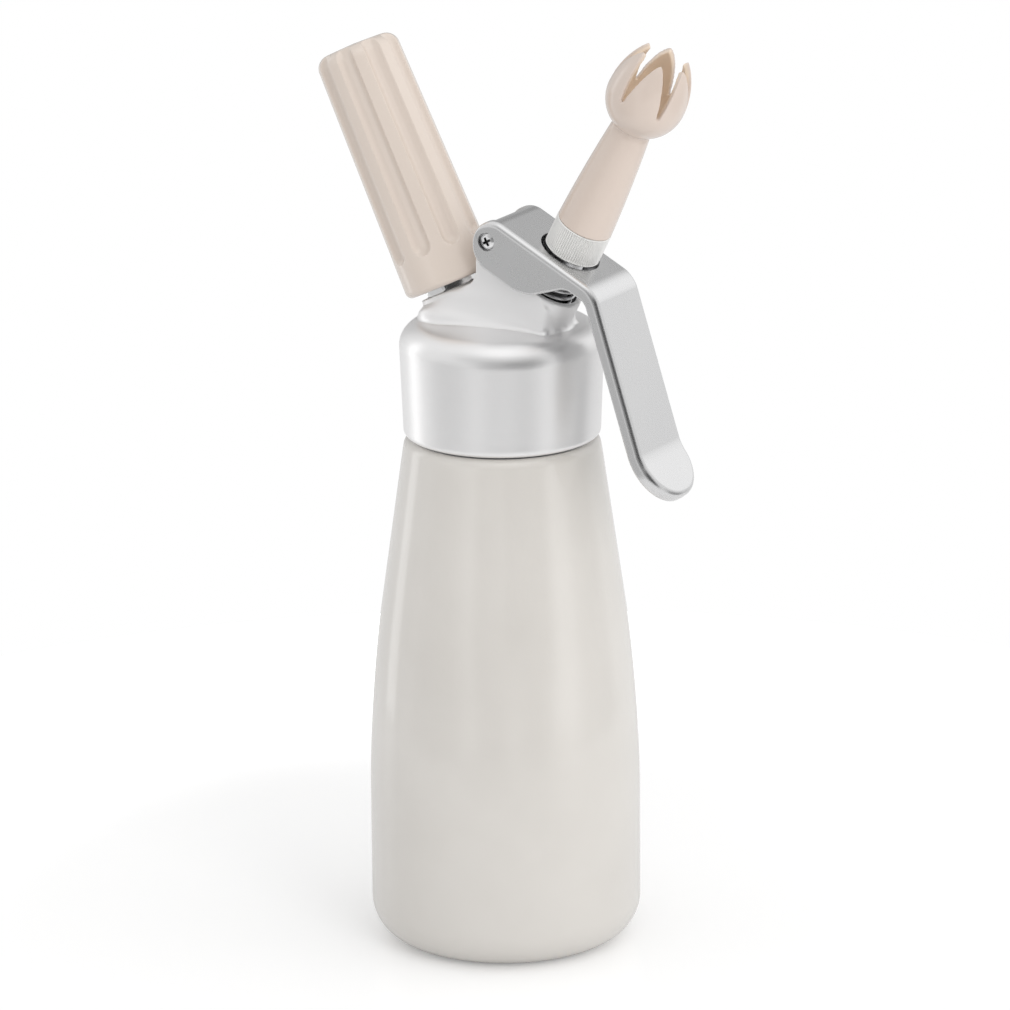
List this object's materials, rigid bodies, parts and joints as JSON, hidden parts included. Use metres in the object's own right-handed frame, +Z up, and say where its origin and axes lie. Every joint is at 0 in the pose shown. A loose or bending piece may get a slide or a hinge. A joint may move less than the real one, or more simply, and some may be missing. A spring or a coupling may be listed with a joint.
{
  "type": "whipped cream dispenser",
  "caption": "Whipped cream dispenser: tapered screw-neck bottle, metal head with a squeeze lever over a sprung valve, fluted gas charger holder and tulip decorating tip.",
  "frame": {"origin": "centre of the bottle's foot, on the surface it stands on", "axes": "+Z up along the bottle's axis; +X towards the lever and the tip, -X towards the charger holder"},
  "size_m": [0.1216, 0.08, 0.2761],
  "materials": {
    "bottle": "satin powder coat, off-white",
    "head": "satin",
    "lever": "satin",
    "collar": "satin",
    "holder": "satin",
    "tip": "satin",
    "insert": "satin",
    "screw": "polished",
    "steel": "satin",
    "charger": "satin",
    "bush": "satin",
    "seal": "matte",
    "black_seal": "matte",
    "stub": "polished"
  },
  "bodies": {
    "bottle": {"bottle": "bottle"},
    "gasket": {"head_gasket": "seal"},
    "head": {"head": "head", "charger_stub": "stub", "piercing_pin": "steel", "pin_retainer": "bush", "non_return_seal": "black_seal", "charger_seal": "black_seal", "stem_bush": "bush", "stem_o_ring": "black_seal", "pivot_barrel": "screw", "pivot_screw": "screw", "valve_spring": "steel"},
    "lever": {"lever": "lever"},
    "valve": {"valve_stem": "steel", "valve_seal": "black_seal", "valve_nut": "steel"},
    "tip_seat": {"tip_seal": "black_seal"},
    "tip": {"tip_collar": "collar", "tip_body": "tip"},
    "charger": {"gas_charger": "charger"},
    "holder": {"charger_holder": "holder", "holder_insert": "insert"}
  },
  "joints": [
    {"name": "head_lift", "type": "slide", "parent": "bottle", "child": "gasket", "axis": [0, 0, 1], "range_m": [0, 0.009]},
    {"name": "head_turn", "type": "hinge", "parent": "gasket", "child": "head", "pos_m": [0, 0, 0.165], "axis": [0, 0, 1], "range_deg": [0, 1080]},
    {"name": "lever_hinge", "type": "hinge", "parent": "head", "child": "lever", "pos_m": [0.0025, 0, 0.2147], "axis": [0, 1, 0], "range_deg": [0, 8], "stiffness_Nm_per_rad": 1.24, "springref_deg": -11.46},
    {"name": "stem_slide", "type": "slide", "parent": "head", "child": "valve", "axis": [-0.4602, 0, -0.8878], "range_m": [0, 0.0028], "deforming": ["valve_spring"]},
    {"name": "tip_lift", "type": "slide", "parent": "valve", "child": "tip_seat", "axis": [0.4602, 0, 0.8878], "range_m": [0, 0.005]},
    {"name": "tip_turn", "type": "hinge", "parent": "tip_seat", "child": "tip", "pos_m": [0.02604, 0, 0.21601], "axis": [0.4602, 0, 0.8878], "range_deg": [0, 1440]},
    {"name": "charger_lift", "type": "slide", "parent": "head", "child": "charger", "axis": [-0.4352, 0, 0.9003], "range_m": [0, 0.006]},
    {"name": "holder_turn", "type": "hinge", "parent": "charger", "child": "holder", "pos_m": [-0.01948, 0, 0.2032], "axis": [-0.4352, 0, 0.9003], "range_deg": [0, 1440]}
  ],
  "couplings": [
    {"joint": "head_turn", "follows": "head_lift", "rad_per_m": 2094.4},
    {"joint": "lever_hinge", "follows": "stem_slide", "rad_per_m": 49.261},
    {"joint": "tip_turn", "follows": "tip_lift", "rad_per_m": 5026.5},
    {"joint": "holder_turn", "follows": "charger_lift", "rad_per_m": 4188.8}
  ]
}
